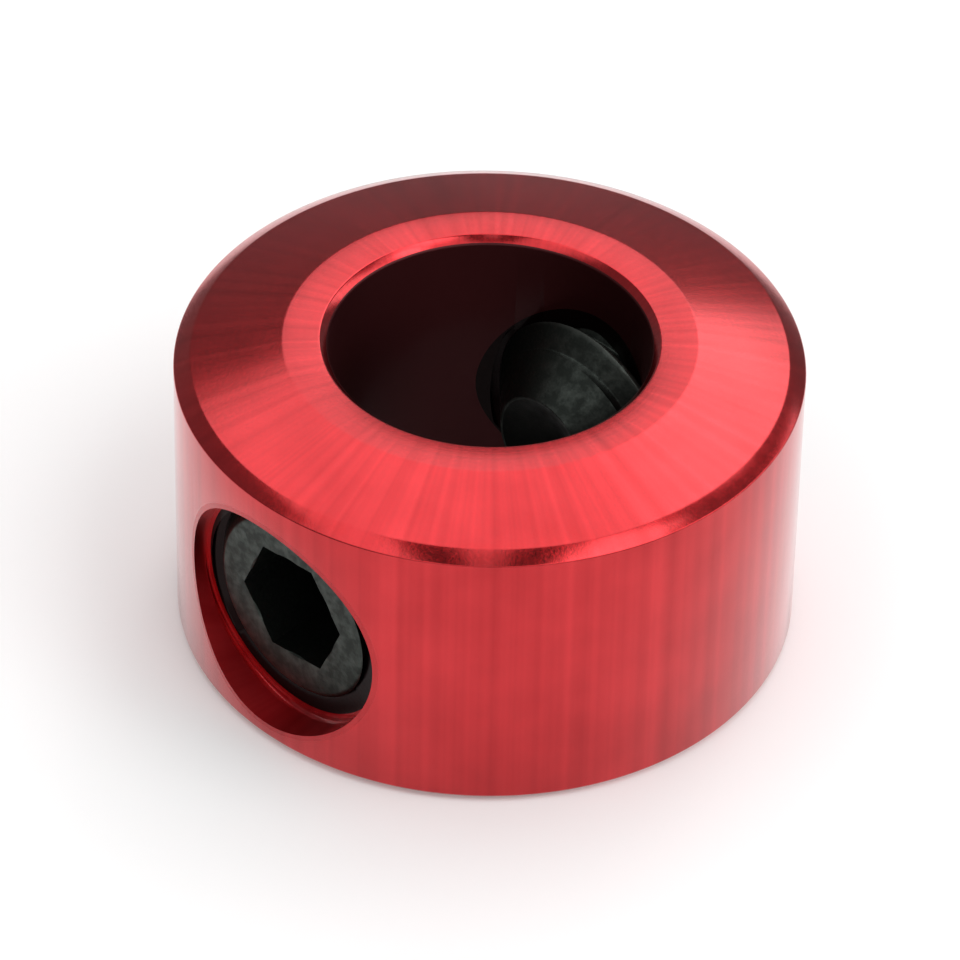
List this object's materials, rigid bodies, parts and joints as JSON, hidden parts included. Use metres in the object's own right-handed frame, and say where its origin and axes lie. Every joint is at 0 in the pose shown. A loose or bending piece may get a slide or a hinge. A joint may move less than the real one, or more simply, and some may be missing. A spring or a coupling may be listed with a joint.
{
  "type": "shaft collar",
  "caption": "Turned ring with a straight bore, a shallow conical top face and opposed set screws in one tapped cross hole, for holding a shaft or what slides on it.",
  "frame": {"origin": "centre of the flat bottom face, on the bore's axis", "axes": "+Z along the bore towards the conical face; the set screws lie along Y, the front one on -Y"},
  "size_m": [0.008, 0.008, 0.0043],
  "materials": {
    "anodised_aluminium": "turned, dyed red and anodised",
    "black_oxide_steel": "black oxide, lightly oiled"
  },
  "bodies": {
    "collar": {"collar_body": "anodised_aluminium"},
    "front_screw_slide": {"front_cup_point": "black_oxide_steel"},
    "front_screw": {"front_set_screw": "black_oxide_steel"},
    "rear_screw_slide": {"rear_cup_point": "black_oxide_steel"},
    "rear_screw": {"rear_set_screw": "black_oxide_steel"}
  },
  "joints": [
    {"name": "front_screw_travel", "type": "slide", "parent": "collar", "child": "front_screw_slide", "axis": [0, 1, 0], "range_m": [-0.00112, 0.0005]},
    {"name": "front_screw_turn", "type": "hinge", "parent": "front_screw_slide", "child": "front_screw", "pos_m": [0, -0.0035, 0.00188], "axis": [0, 1, 0], "range_deg": [-825, 375]},
    {"name": "rear_screw_travel", "type": "slide", "parent": "collar", "child": "rear_screw_slide", "axis": [0, -1, 0], "range_m": [-0.00112, 0.0005]},
    {"name": "rear_screw_turn", "type": "hinge", "parent": "rear_screw_slide", "child": "rear_screw", "pos_m": [0, 0.0035, 0.00188], "axis": [0, -1, 0], "range_deg": [-825, 375]}
  ],
  "couplings": [
    {"joint": "front_screw_turn", "follows": "front_screw_travel", "rad_per_m": 12566},
    {"joint": "rear_screw_turn", "follows": "rear_screw_travel", "rad_per_m": 12566}
  ]
}
